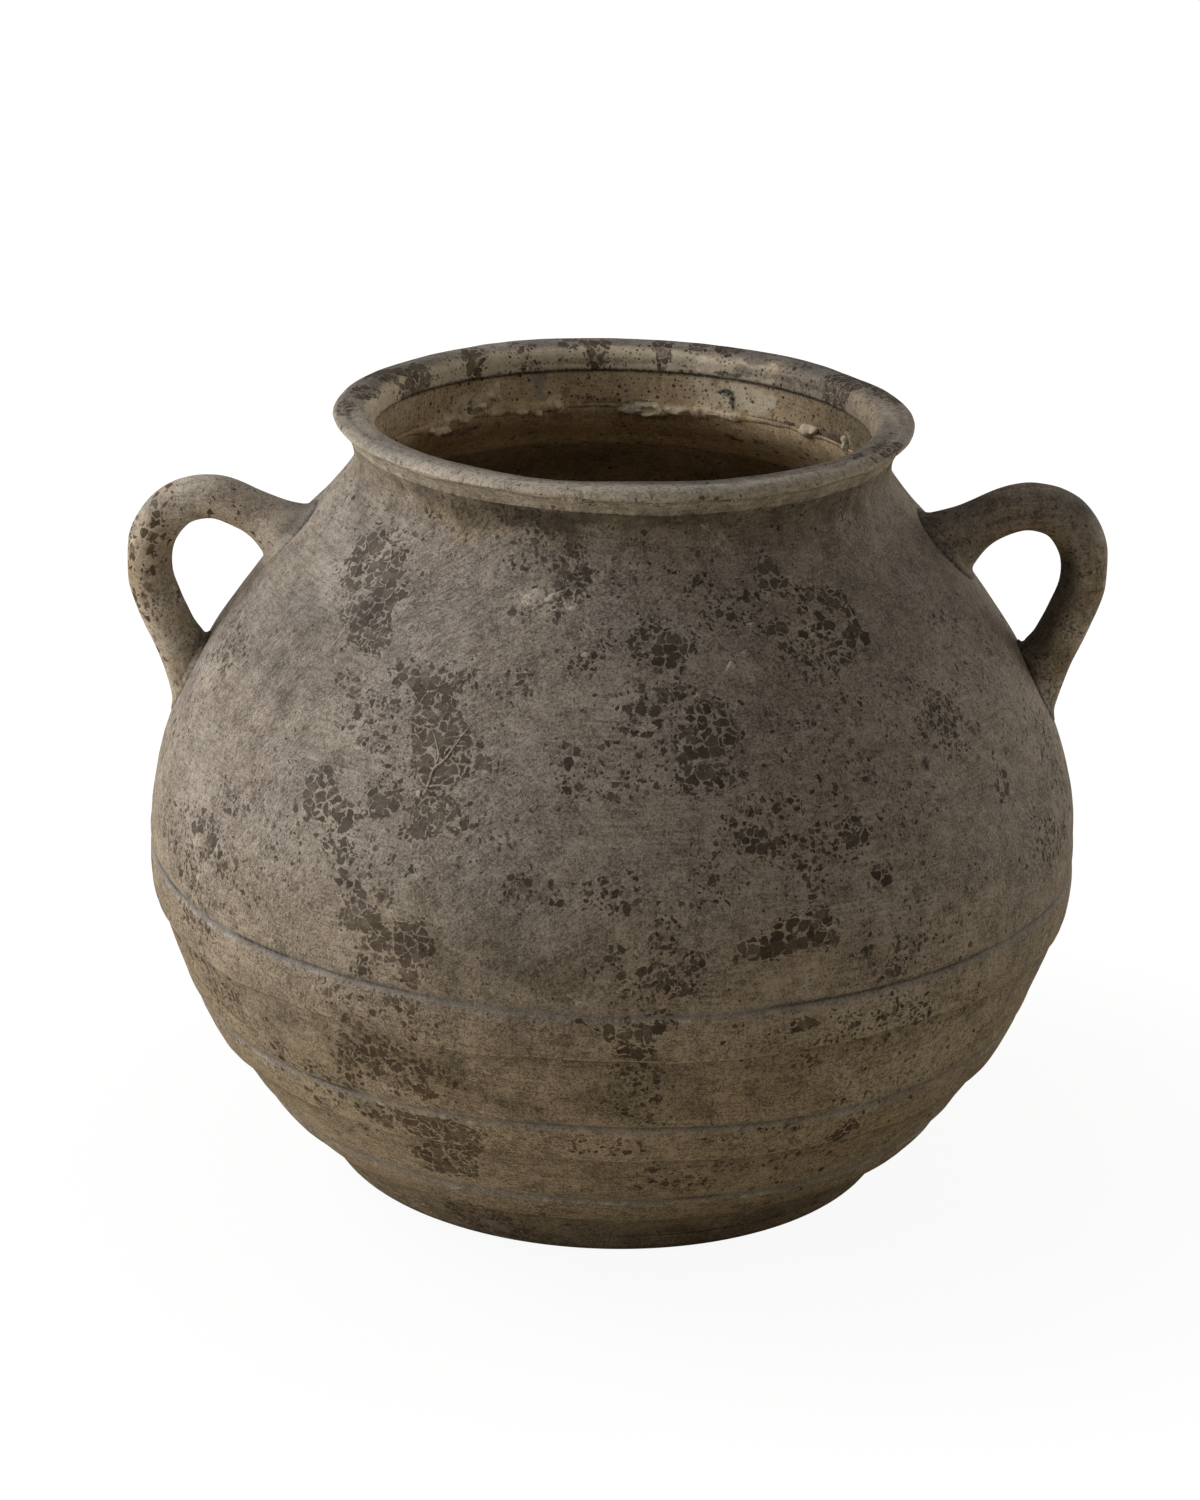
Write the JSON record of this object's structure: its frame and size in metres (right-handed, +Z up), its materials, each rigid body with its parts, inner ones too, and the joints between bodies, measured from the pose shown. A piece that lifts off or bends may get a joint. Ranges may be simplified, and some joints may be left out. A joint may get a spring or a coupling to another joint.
{
  "type": "stoneware vase",
  "caption": "Round-bellied stoneware vase with a short neck, an out-turned rim, raised straps round its lower half and two ring handles on its shoulder.",
  "frame": {"origin": "middle of the foot, on the surface that the vase stands on", "axes": "+Z up, +X towards the right handle, -Y towards the side that the picture shows"},
  "size_m": [0.4208, 0.4045, 0.338],
  "materials": {
    "body_clay": "matte, mottled grey-brown with dark blistered patches",
    "neck_clay": "matte, pitted tan-brown",
    "rim_clay": "matte, with brown blisters",
    "strap_clay": "matte, dusty at the edges",
    "squeezed_clay": "matte, pale raw clay",
    "handle_clay": "matte, rust-brown blotches"
  },
  "bodies": {
    "root": {"base_slab": "body_clay", "foot_section": "body_clay", "lower_section": "body_clay", "middle_section": "body_clay", "shoulder_section": "body_clay", "neck_collar": "neck_clay", "rim_ring": "rim_clay", "band_lower": "strap_clay", "band_middle": "strap_clay", "band_upper": "strap_clay", "neck_seam_coil": "squeezed_clay", "handle_left": "handle_clay", "handle_right": "handle_clay"}
  },
  "joints": []
}
